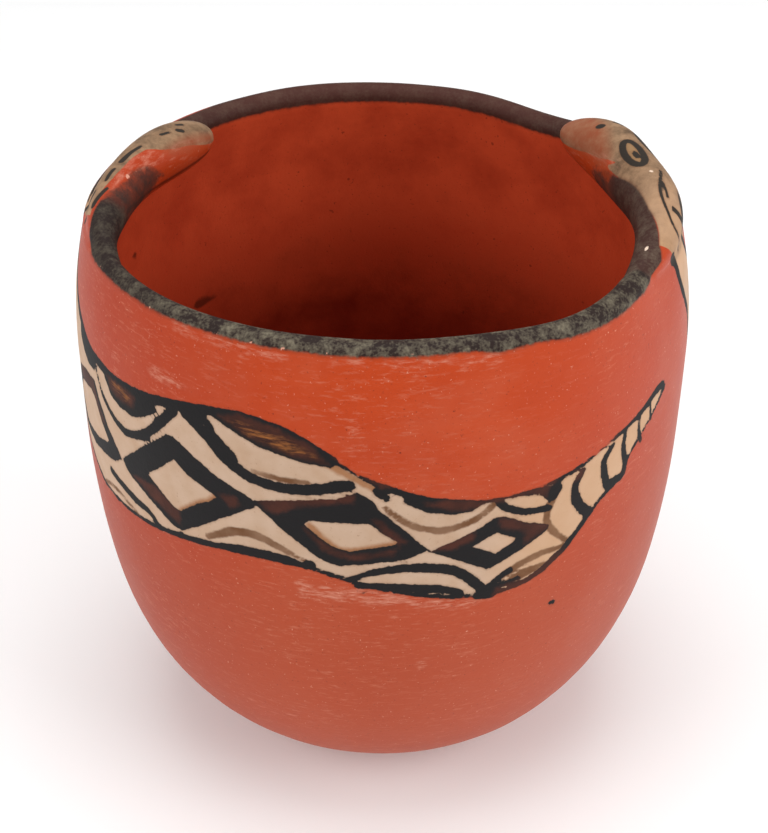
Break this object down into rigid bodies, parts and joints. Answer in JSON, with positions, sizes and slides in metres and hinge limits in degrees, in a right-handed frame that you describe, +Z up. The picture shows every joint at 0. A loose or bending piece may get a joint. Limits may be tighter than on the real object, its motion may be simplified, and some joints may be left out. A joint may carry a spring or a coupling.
{
  "type": "clay jar",
  "caption": "Deep round-bottomed open clay jar; modelled snake heads lie along its rim over painted snake bodies on the wall.",
  "frame": {"origin": "centre of the flat underside, on the jar's axis", "axes": "+Z up through the open mouth; -Y towards the wall that the left snake's body crosses; +X towards the taller head"},
  "size_m": [0.1499, 0.15, 0.1535],
  "materials": {
    "painted_clay": "burnished red slip with cream and black paint, worn"
  },
  "bodies": {
    "root": {"clay_jar": "painted_clay"}
  },
  "joints": []
}
